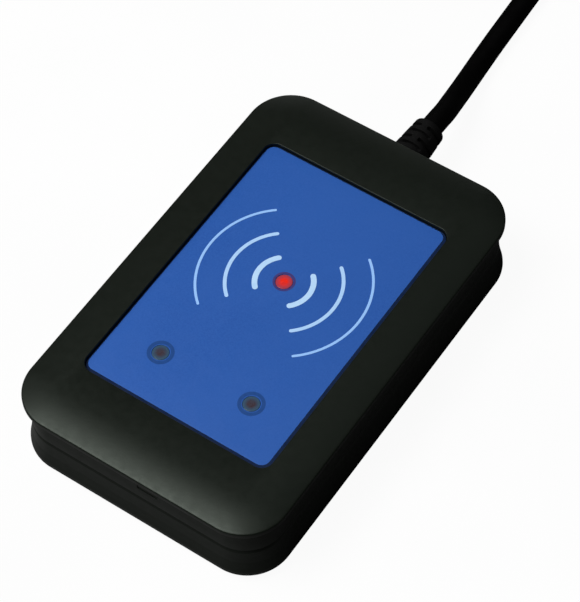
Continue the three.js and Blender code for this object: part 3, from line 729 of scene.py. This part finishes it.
def strain_relief():
    """Tapered sleeve with the lead through it, slotted so that it can bend."""
    low, high = box_mm("strain_relief")
    flange_front = LENGTH / 2 - CAVITY_INSET - 0.3
    wall = CORD_EXIT_Y - 0.2
    bore = CORD_RADIUS + 0.05

    def sleeve_radius(y):
        return RELIEF["base"] - RELIEF["taper"] * (y - wall) / (high.y - wall)

    inside = fillets([
        (bore, low.y, 0), (RELIEF["flange"], low.y, 0.3), (RELIEF["flange"], flange_front, 0.1),
        (RELIEF["neck"], flange_front, 0.1), (RELIEF["neck"], wall, 0.1), (RELIEF["base"], wall, 0.1),
        (sleeve_radius(wall + 1), wall + 1, 0),
    ], 4)
    tip = fillets([
        (sleeve_radius(high.y - 1), high.y - 1, 0), (RELIEF["tip"], high.y, 0.35),
        (bore + 0.1, high.y, 0.1), (bore, high.y - 0.3, 0),
    ], 5)
    rings = [slotted_ring(radius, 0, y, 0) for radius, y in inside]
    for row in range(BEND_SLOTS["rows"]):
        middle = BEND_SLOTS["first"] + BEND_SLOTS["pitch"] * row
        for offset, depth in SLOT_PROFILE:
            y = middle + offset
            rings.append(slotted_ring(sleeve_radius(y), depth, y, row))
    rings += [slotted_ring(radius, 0, y, 0) for radius, y in tip]
    relief = make("ribbed_relief", *skin(rings, closed=True))
    return settle(relief, RUBBER, ["strain_relief"])


def cord_tie():
    """Hook-and-loop strap round the coil's section, its end lapped over on the outside."""
    low, high = box_mm("cord_tie")
    centre_x, centre_z = (low.x + high.x) / 2, (low.z + high.z) / 2
    half_x, half_y = (high.x - low.x) / 2, (high.y - low.y) / 2
    lowest, highest = low.z - centre_z + TIE_THICKNESS / 2, high.z - centre_z - TIE_THICKNESS / 2
    reach = circle(CORD_RADIUS + TIE_THICKNESS / 2 + 0.05, sides=32)
    near_tie = [
        place for place in coil_turns()
        if abs(place.y - COIL_CENTRE.y) < half_y + 2 and place.x < COIL_CENTRE.x
    ]
    bundle = [(place.x - centre_x + a, place.z - centre_z + b) for place in near_tie for a, b in reach]
    taut = [bundle[i] for i in convex_hull_2d(bundle)]
    loop = [(a, min(max(b, lowest), highest)) for a, b in taut]
    section = rounded(TIE_THICKNESS / 2, half_y, 0.25, steps=3)

    def rings(path, closed):
        made = []
        for i, (a, b) in enumerate(path):
            before = Vector(path[i - 1] if closed or i else path[i])
            after = Vector(path[(i + 1) % len(path)] if closed or i < len(path) - 1 else path[i])
            run = (after - before).normalized()
            out = Vector((run.y, -run.x))
            x, z = centre_x + a, centre_z + b
            made.append([(x + out.x * u, COIL_CENTRE.y + v, z + out.y * u) for u, v in section])
        return made

    band = make("tool", *skin(rings(loop, True), closed=True))
    swell = 1 + TIE_THICKNESS / half_x
    outside = [(a, b) for a, b in loop if a < -0.6 * half_x and b > lowest + 1.5]
    lap = [(a * swell, b * swell) for a, b in sorted(outside, key=lambda at: -at[1])]
    end = make("tool", *skin(rings(lap, False)))
    strap = together([band, end])
    strap.name = "loop_strap"
    return settle(strap, STRAP, ["cord_tie"])


# ---------------------------------------------------------------- plug
def plug_grip():
    low, high = box_mm("plug_grip")
    sleeve_end = PLUG_REAR_Y + PLUG_SLEEVE_LENGTH
    bore = CORD_RADIUS + 0.04
    profile = fillets([
        (bore, PLUG_REAR_Y + 3.2, 0), (bore, PLUG_REAR_Y, 0),
        *[(radius, PLUG_REAR_Y + along, fillet) for radius, along, fillet in PLUG_RIBS],
        (3.35, sleeve_end + 1, 0),
    ], 3)
    sleeve = make("tool", *skin([along_y(circle(r, sides=48), y, PLUG_X, PLUG_Z) for r, y in profile]))
    half_x, half_z = (high.x - low.x) / 2, (high.z - low.z) / 2
    rear_edge, front_edge = 1.1, 0.7
    rear_turn = [TURN / 4 * i / 6 for i in range(7)]
    front_turn = [TURN / 4 * i / 5 for i in range(6)]
    body_rings = []
    for inset, y in [
        *[(rear_edge - rear_edge * math.sin(a), sleeve_end + rear_edge - rear_edge * math.cos(a))
          for a in rear_turn],
        (0.35, sleeve_end + 7), (0.35, sleeve_end + 12), (0, high.y - 4),
        *[(front_edge - front_edge * math.cos(a), high.y - front_edge + front_edge * math.sin(a))
          for a in front_turn],
    ]:
        ring = rounded(half_x - inset, half_z - inset * 0.7, 1.9 - inset * 0.5, steps=7)
        body_rings.append(along_y(ring, y, PLUG_X, PLUG_Z))
    grip = make("plug_overmould", *skin(body_rings))
    grooves = []
    for x in (PLUG_X - 8.3, PLUG_X + 8.3):
        for y in (sleeve_end + 7.2, sleeve_end + 9.2, sleeve_end + 11.2):
            grooves.append(block(x - 0.65, x + 0.65, y, y + 0.8, PLUG_Z - 5, PLUG_Z + 5))
    mouth_y = high.y - 2.95
    socket = block(PLUG_X - 6.1, PLUG_X + 6.1, mouth_y, high.y + 1, PLUG_Z - 2.35, PLUG_Z + 2.35)
    combine(grip, [sleeve], "UNION")
    combine(grip, [together([*grooves, socket])], "DIFFERENCE")
    return settle(grip, GRIP_RUBBER, ["plug_grip"])


def plug_shell():
    """Folded steel shell with two latch windows on each wide face and a seam underneath."""
    low, high = box_mm("plug_shell")
    half_x, half_z = (high.x - low.x) / 2, (high.z - low.z) / 2
    wall = 0.3

    def ring(inset, y, radius):
        return along_y(rounded(half_x - inset, half_z - inset, radius, steps=6), y, PLUG_X, PLUG_Z)

    lead_in = 0.12
    shell = make("plug_steel", *skin([
        ring(0, low.y, 0.6), ring(0, high.y - lead_in, 0.6), ring(lead_in / 2, high.y, 0.55),
        ring(wall - 0.05, high.y, 0.35), ring(wall, high.y - lead_in, 0.3), ring(wall, low.y, 0.3),
    ], closed=True))
    windows = [
        block(x - 1.2, x + 1.2, high.y - 7.2, high.y - 5, PLUG_Z - 3, PLUG_Z + 3)
        for x in (PLUG_X - 3, PLUG_X + 3)
    ]
    seam = block(PLUG_X - 0.05, PLUG_X + 0.05, low.y - 1, high.y + 1, PLUG_Z - 3, PLUG_Z - half_z + 0.2)
    combine(shell, [together([*windows, seam])], "DIFFERENCE")
    return settle(shell, STEEL, ["plug_shell"])


# ---------------------------------------------------------------- housing
def cable_holes():
    """The strain relief's neck hole, and the wider recess for its sleeve."""
    return [
        drill(3.1, LENGTH / 2 - CAVITY_INSET - 1, LENGTH / 2 + 1, EXIT_Z, EXIT_X),
        drill(4.7, CORD_EXIT_Y - 0.5, LENGTH / 2 + 2, EXIT_Z, EXIT_X),
    ]


def crown_height(inset):
    """Shallow arc from the lip up to the level middle of the rim."""
    rise = TOP_HIGH.z - LIP_TOP_Z
    return TOP_HIGH.z - rise * (1 - min(inset / CROWN_WIDTH, 1)) ** 2


def top_shell():
    """Upper cover: waisted wall, undercut lip, crowned rim and the pocket for the film."""
    rim = PARTING_Z + PARTING_GAP / 2
    rebate_inset, rebate_top = 2.35, 11.0
    section = fillets([
        (INNER_FACE_INSET, CEILING_Z, 0), (CAVITY_INSET, CEILING_Z, 0.9), (CAVITY_INSET, rebate_top, 0),
        (rebate_inset, rebate_top, 0), (rebate_inset, rim, 0.1), (PARTING_INSET, rim, 0.08),
        (1.1, 11.4, 4), (1.3, 13.4, 4), (1.38, 15.36, 0.7), (0, 15.86, 0.3), (0, LIP_TOP_Z, LIP_EDGE),
        (CROWN_START, crown_height(CROWN_START), 0),
    ])
    rings = [housing_ring(inset, z) for inset, z in section]
    for step in range(1, CROWN_STEPS + 1):
        inset = CROWN_START + (CROWN_END - CROWN_START) * step / CROWN_STEPS
        rings.append(housing_ring(inset, crown_height(inset)))
    centre_y = (FILM_LOW.y + FILM_HIGH.y) / 2
    half_x = (FILM_HIGH.x - FILM_LOW.x) / 2 + POCKET_GAP
    half_y = (FILM_HIGH.y - FILM_LOW.y) / 2 + POCKET_GAP
    for inward, up in quarter(POCKET_EDGE, POCKET_EDGE, 5)[::-1]:
        rings.append(at_z(
            rounded(half_x + inward, half_y + inward, POCKET_RADIUS + inward, 0, centre_y),
            TOP_HIGH.z - POCKET_EDGE + up,
        ))
    rings.append(at_z(rounded(half_x, half_y, POCKET_RADIUS, 0, centre_y), POCKET_FLOOR_Z))
    shell = make("top_shell", *skin(rings))
    posts = [post(2.9, x, y, rim, CEILING_Z + 0.5) for x, y in SCREW_PLACES]
    combine(shell, [together(posts)], "UNION")
    slot_face = -LENGTH / 2 + FRONT_SLOT["inset"]
    cuts = [
        *[post(OPENING_RADIUS, x, y, CEILING_Z - 1, LIP_TOP_Z) for x, y in LENSES.values()],
        *[post(1.35, x, y, PARTING_Z, CEILING_Z - 0.6) for x, y in SCREW_PLACES],
        block(FRONT_SLOT["left"], FRONT_SLOT["right"], slot_face - 1, slot_face + FRONT_SLOT["depth"],
              FRONT_SLOT["low"], FRONT_SLOT["high"]),
    ]
    combine(shell, [together(cuts), *cable_holes()], "DIFFERENCE")
    return settle(shell, PLASTIC, ["top_cover"])


def bottom_shell():
    """Lower cover: flared wall, rounded base edge, bosses inside and recesses underneath."""
    rim = PARTING_Z - PARTING_GAP / 2
    edge_width, edge_height = BASE_EDGE
    section = fillets([
        (INNER_FACE_INSET, FLOOR_Z, 0), (CAVITY_INSET, FLOOR_Z, 0.8), (CAVITY_INSET, BASE_HIGH.z, 0.1),
        (2.5, BASE_HIGH.z, 0.2), (2.5, rim, 0.05), (1.17, rim, 0.05), (0.93, rim - 0.7, 0.3),
        (0.82, 7.6, 4), (0.6, 5.8, 4), (0.25, 4.1, 3), (0.04, 3.2, 2), (0, BASE_LOW.z + edge_height, 0),
    ])
    edge = [(inset, BASE_LOW.z + edge_height - down)
            for inset, down in quarter(edge_width, edge_height, 12)[1:]]
    shell = make("bottom_shell", *skin([housing_ring(inset, z) for inset, z in section + edge]))
    root = FLOOR_Z - 0.5
    saddle_front, saddle_back, saddle_side = 33.8, 37.4, 7.2
    bosses = [
        *[post(3.4, x, y, root, rim) for x, y in SCREW_PLACES],
        *[post(2.8, x, y, root, BOARD_REST_Z) for x, y in BOARD_POSTS],
        *[post(2, x, y, root, BOARD_REST_Z) for x, y in BOARD_RESTS],
        block(-saddle_side, saddle_side, saddle_front, saddle_back, root, 7.3),
    ]
    combine(shell, [together(bosses)], "UNION")
    cheeks = [
        block(-saddle_side, -2.3, saddle_front, saddle_back, 7, 11.2),
        block(2.3, saddle_side, saddle_front, saddle_back, 7, 11.2),
    ]
    combine(shell, [together(cheeks)], "UNION")
    plate_x = (PLATE_HIGH.x - PLATE_LOW.x) / 2 + PLATE_GAP
    plate_y = (PLATE_HIGH.y - PLATE_LOW.y) / 2 + PLATE_GAP
    recess = rounded(plate_x, plate_y, 2, steps=8)
    screw_well = [(3.15, 0), (3.15, 0.7), (2.9, 1.0), (2.9, 3.4)]
    foot_well = [(5.05, 0), (5.05, 0.72), (4.8, 0.95), (4.8, 1.4)]
    cuts = [
        *[turned("tool", screw_well, x, y) for x, y in SCREW_PLACES],
        *[turned("tool", foot_well, x, y) for x, y in FOOT_PLACES],
        make("tool", *skin([at_z(recess, 0), at_z(recess, 1.2)])),
    ]
    pilots = [
        *[post(1.6, x, y, 3, rim + 1) for x, y in SCREW_PLACES],
        *[post(1.15, x, y, 3.2, 6) for x, y in BOARD_POSTS],
        *[post(1, side * 5.2, 35.6, 5.6, 12) for side in (-1, 1)],
    ]
    combine(shell, [together(cuts), together(pilots), *cable_holes()], "DIFFERENCE")
    return settle(shell, PLASTIC, ["bottom_cover"])


def film_ring(inset, z, shift=0.0):
    """The film's outline moved inwards by inset, and by shift to the left and back."""
    half_x = (FILM_HIGH.x - FILM_LOW.x) / 2 - inset
    half_y = (FILM_HIGH.y - FILM_LOW.y) / 2 - inset
    radius = POCKET_RADIUS - POCKET_GAP - inset
    centre_y = (FILM_LOW.y + FILM_HIGH.y) / 2
    return at_z(rounded(half_x, half_y, radius, -shift, centre_y + shift), z)


def film_overlay():
    edge = 0.1
    rings = [film_ring(0, FILM_LOW.z)]
    rings += [film_ring(inset, FILM_HIGH.z - edge + up) for inset, up in quarter(edge, edge, 4)]
    film = make("film_overlay", *skin(rings))
    wider = OPENING_RADIUS + 0.04
    punch = [
        (OPENING_RADIUS, FILM_LOW.z - 1), (OPENING_RADIUS, FILM_HIGH.z - 0.04),
        (wider, FILM_HIGH.z + 0.01), (wider, FILM_HIGH.z + 1),
    ]
    holes = [turned("tool", punch, x, y, 64) for x, y in LENSES.values()]
    combine(film, [together(holes)], "DIFFERENCE")
    return settle(film, FILM, ["front_film"])


# ---------------------------------------------------------------- print on the film, and painted shade on it
def wave(radius, stroke, middle):
    """A stroke along an arc, with round ends."""
    outline = []
    half = stroke / 2
    reach = WAVE_REACH - half / radius
    low, high = middle - reach, middle + reach
    steps, end_steps = 40, 8

    def side(at_radius, start, end):
        for i in range(steps + 1):
            a = start + (end - start) * i / steps
            outline.append((at_radius * math.cos(a), at_radius * math.sin(a)))

    def round_end(at, start):
        x, y = radius * math.cos(at), radius * math.sin(at)
        for i in range(1, end_steps):
            a = start + math.pi * i / end_steps
            outline.append((x + half * math.cos(a), y + half * math.sin(a)))

    side(radius + half, low, high)
    round_end(high, high)
    side(radius - half, high, low)
    round_end(low, low + math.pi)
    x, y = LENSES["centre"]
    ring = [(x + a, y + b) for a, b in outline]
    return make("tool", *skin([at_z(ring, FILM_HIGH.z), at_z(ring, FILM_HIGH.z + INK_AND_SHADE_HEIGHT)]))


def printed_waves():
    strokes = [wave(radius, stroke, middle) for radius, stroke in WAVES for middle in (0, math.pi)]
    waves = together(strokes)
    waves.name = "printed_waves"
    return settle(waves, WHITE_INK)


def dark_rings():
    """A dark ring round each indicator light: print round the grey lenses, and round the red one a
    painted shadow of its opening's wall.
    """
    for name, inner, outer in DARK_RINGS:
        x, y = LENSES[name]
        ring = make(f"dark_ring_{name}", *skin([
            at_z(circle(r, x, y, 64), FILM_HIGH.z + z)
            for r, z in ((inner, 0), (inner, INK_AND_SHADE_HEIGHT), (outer, INK_AND_SHADE_HEIGHT), (outer, 0))
        ], closed=True))
        # round the red light this ring is painted shadow, round the others print
        settle(ring, RED_RING_SHADOW if name == "centre" else RING_INK)


def film_edge_shade():
    """Painted shade along the film's edge, where the gap to the pocket wall lies in shadow, a little
    broader at the front and on the right.
    """
    border = make("film_edge_shade", *skin([
        film_ring(inset, FILM_HIGH.z + z, shift) for inset, z, shift in (
            (BORDER_WIDTH, -EDGE_SHADE_DEPTH, BORDER_SHIFT), (BORDER_WIDTH, INK_AND_SHADE_HEIGHT, BORDER_SHIFT),
            (0, INK_AND_SHADE_HEIGHT, 0), (0, -EDGE_SHADE_DEPTH, 0),
        )
    ], closed=True))
    return settle(border, EDGE_SHADE_PAINT)


def light_lenses():
    flange = CEILING_Z - 0.3
    profile = fillets([
        (0.3, 9.1, 0), (1.4, 9.1, 0), (1.5, flange - 1, 0), (2.6, flange - 1, 0), (2.6, flange, 0),
        (LENS_RADIUS, flange, 0), (LENS_RADIUS, FILM_HIGH.z, 0.1), (0.3, FILM_HIGH.z, 0),
    ])
    for name, (x, y) in LENSES.items():
        if name == "centre":
            slot = "red_lens"
            look = lens_look(slot, (x, y), linear(238, 42, 19), linear(164, 58, 72), 0.95, 0.05)
        else:
            slot = "grey_lens"
            look = lens_look(f"{slot}_{name}", (x, y), linear(64, 47, 52), linear(55, 82, 105), 1.0)
        lens = turned(f"{name}_lens", profile, x, y, 64)
        settle(lens, look, [f"{name}_light_lens"])


# ---------------------------------------------------------------- underside
def feet():
    for number, (x, y) in enumerate(FOOT_PLACES, 1):
        low, high = box_mm(f"rubber_foot_{number}")
        radius = (high.x - low.x) / 2
        profile = fillets([
            (0.4, 0.25, 0), (2.6, 0.25, 0.2), (2.75, 0.0, 0.1), (3.9, 0.0, 0.25), (radius, 0.35, 0.35),
            (radius, high.z, 0.1), (0.4, high.z, 0),
        ], 4)
        foot = turned(f"foot_{number}", profile, x, y, 56)
        settle(foot, FOOT_RUBBER, [f"rubber_foot_{number}"])


def cover_screws():
    """Pan-head screws with a cross recess, seen from below."""
    for number, (x, y) in enumerate(SCREW_PLACES, 1):
        low, high = box_mm(f"cover_screw_{number}")
        head_top = low.z + 1.8
        profile = fillets([
            (0.3, low.z - 0.02, 0), (1.5, low.z, 0.4), (2.5, low.z + 0.9, 0.4), (2.5, head_top, 0.1),
            (1.0, head_top, 0.1), (1.0, high.z - 1.2, 0.2), (0.2, high.z, 0),
        ], 4)
        screw = turned(f"screw_{number}", profile, x, y, 40)
        arms = []
        for crossed in (False, True):
            rings = []
            for z, reach, width in ((low.z - 0.5, 1.62, 0.62), (low.z + 1.0, 1.2, 0.4)):
                a, b = (width / 2, reach) if crossed else (reach, width / 2)
                rings.append(at_z([(x - a, y - b), (x + a, y - b), (x + a, y + b), (x - a, y + b)], z))
            arms.append(make("tool", *skin(rings)))
        combine(screw, arms, "DIFFERENCE")
        settle(screw, SCREW_STEEL, [f"cover_screw_{number}"])


def label_plate():
    half_x = (PLATE_HIGH.x - PLATE_LOW.x) / 2
    half_y = (PLATE_HIGH.y - PLATE_LOW.y) / 2
    corner, edge = 1.7, 0.06
    rings = []
    for inset, down in quarter(edge, edge, 3)[::-1]:
        ring = rounded(half_x - inset, half_y - inset, corner - inset, steps=10)
        rings.append(at_z(ring, PLATE_LOW.z + edge - down))
    rings.append(at_z(rounded(half_x, half_y, corner, steps=10), PLATE_HIGH.z))
    plate = make("label_plate", *skin(rings))
    return settle(plate, PLATE, ["rating_plate"])


# ---------------------------------------------------------------- pieces kept from the CAD model
CAD_LOOKS = {
    BOARD: ["circuit_board"],
    WINDING: ["antenna_coil"],
    CHIP: ["controller_chip", "memory_chip", "voltage_regulator", "radio_chip"],
    BLACK_PLASTIC: ["sounder", "sounder_cap"],
    SCREW_STEEL: ["clock_crystal", "storage_capacitor", "cable_clamp", "clamp_screw_left",
                  "clamp_screw_right", "board_screw_1", "board_screw_2"],
    IVORY: ["cable_header", "cable_connector", "plug_tongue"],
    JACKET: ["inner_lead"],
    LAMP: ["centre_lamp", "left_lamp", "right_lamp"],
    GOLD: ["plug_contact_1", "plug_contact_2", "plug_contact_3", "plug_contact_4"],
}
EDGE_BREAK = 0.06
EDGE_ANGLE = 40


def dress_cad_nodes():
    """Materials and softly broken edges for the pieces whose CAD shape stays."""
    for look, names in CAD_LOOKS.items():
        for name in names:
            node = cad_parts[name]
            if node.material_slots:
                for slot in node.material_slots:
                    slot.material = look
            else:
                node.data.materials.append(look)
            soften = node.modifiers.new("edges", "BEVEL")
            soften.width = EDGE_BREAK * MM
            soften.segments = 2
            soften.limit_method = "ANGLE"
            soften.angle_limit = math.radians(EDGE_ANGLE)


# ---------------------------------------------------------------- floor, light
FLOOR_HALF = 1.5
# share of the light that the floor sends back, in front and on the left, and behind and on the right,
# where the lower share is painted shadow
BOUNCE = 0.22
PAINTED_SHADOW_BOUNCE = 0.09
LAMP_DISTANCE = 1.0
LAMP_SIZE = 0.5
DIM_SKY = 0.02


def add_floor():
    """Pale floor: the camera sees its even near-white light, and other rays a matt surface with a
    painted shadow behind and on the right.
    """
    corners = [(x * FLOOR_HALF, y * FLOOR_HALF, 0) for x, y in ((-1, -1), (1, -1), (1, 1), (-1, 1))]
    mesh = bpy.data.meshes.new("floor")
    mesh.from_pydata(corners, [], [(0, 1, 2, 3)])
    floor = added(bpy.data.objects.new("floor", mesh))
    look = Look("pale_floor").set(**{"Specular IOR Level": 0.0}, Roughness=0.9)
    rays = look.node("ShaderNodeLightPath").outputs["Is Camera Ray"]
    tone = look.mottled(60, (0.97, 0.97, 0.97, 1), (0.985, 0.985, 0.985, 1))
    across = look.node("ShaderNodeVectorMath", operation="DOT_PRODUCT")
    across.inputs[1].default_value = (0.8, 0.6, 0)
    look.link(look.place, across.inputs[0])
    # painted shadow: the floor sends back less light behind and on the right of the object, where its
    # shadow falls
    lee = look.spread(across.outputs["Value"], 0, 1, -12 * MM, 4 * MM)
    bounce = look.mixed(lee, (BOUNCE, BOUNCE, BOUNCE, 1), (PAINTED_SHADOW_BOUNCE, PAINTED_SHADOW_BOUNCE, PAINTED_SHADOW_BOUNCE, 1))
    look.colour(look.mixed(rays, bounce, (0.04, 0.04, 0.04, 1)))
    look.link(tone, look.shader.inputs["Emission Color"])
    look.link(look.spread(rays, 0, 0.97, 0, 1), look.shader.inputs["Emission Strength"])
    mesh.materials.append(look.material)


def area_light(name, direction, power, tint=(1, 1, 1)):
    """A square soft lamp in a direction from the object's middle, in watts."""
    data = bpy.data.lights.new(name, "AREA")
    data.shape = "RECTANGLE"
    data.size = data.size_y = LAMP_SIZE
    data.energy = power
    data.color = tint
    lamp = added(bpy.data.objects.new(name, data))
    direction = Vector(direction).normalized()
    lamp.location = direction * LAMP_DISTANCE
    lamp.rotation_mode = "QUATERNION"
    lamp.rotation_quaternion = direction.to_track_quat("Z", "Y")


def add_light():
    area_light("key", (-0.3, -0.3, 0.906), 9.6)
    area_light("front_left_fill", (-0.54, -0.54, 0.64), 0.7)
    area_light("left_fill", (-0.766, 0, 0.643), 0.6)
    area_light("back_fill", (0.05, 0.5, 0.86), 0.3, (0.94, 0.97, 1))
    area_light("low_back_fill", (-0.5, 0.85, 0.18), 0.9)
    world = bpy.data.worlds.new("studio")
    world.use_nodes = True
    background = world.node_tree.nodes["Background"]
    rays = world.node_tree.nodes.new("ShaderNodeLightPath")
    shade = world.node_tree.nodes.new("ShaderNodeMix")
    shade.data_type = "FLOAT"
    world.node_tree.links.new(rays.outputs["Is Camera Ray"], shade.inputs["Factor"])
    floats = [s for s in shade.inputs if s.type == "VALUE" and s.name in ("A", "B")]
    floats[0].default_value = DIM_SKY
    floats[1].default_value = 1.0
    world.node_tree.links.new(shade.outputs[0], background.inputs["Strength"])
    background.inputs["Color"].default_value = (1, 1, 1, 1)
    bpy.context.scene.world = world
    bpy.context.scene.view_settings.view_transform = "Standard"


# ---------------------------------------------------------------- assembly
add_camera()
lead = usb_lead()
relief = strain_relief()
tie = cord_tie()
grip = plug_grip()
steel = plug_shell()
top_shell()
bottom_shell()
film_overlay()
printed_waves()
dark_rings()
film_edge_shade()
light_lenses()
feet()
cover_screws()
label_plate()
dress_cad_nodes()
add_floor()
add_light()
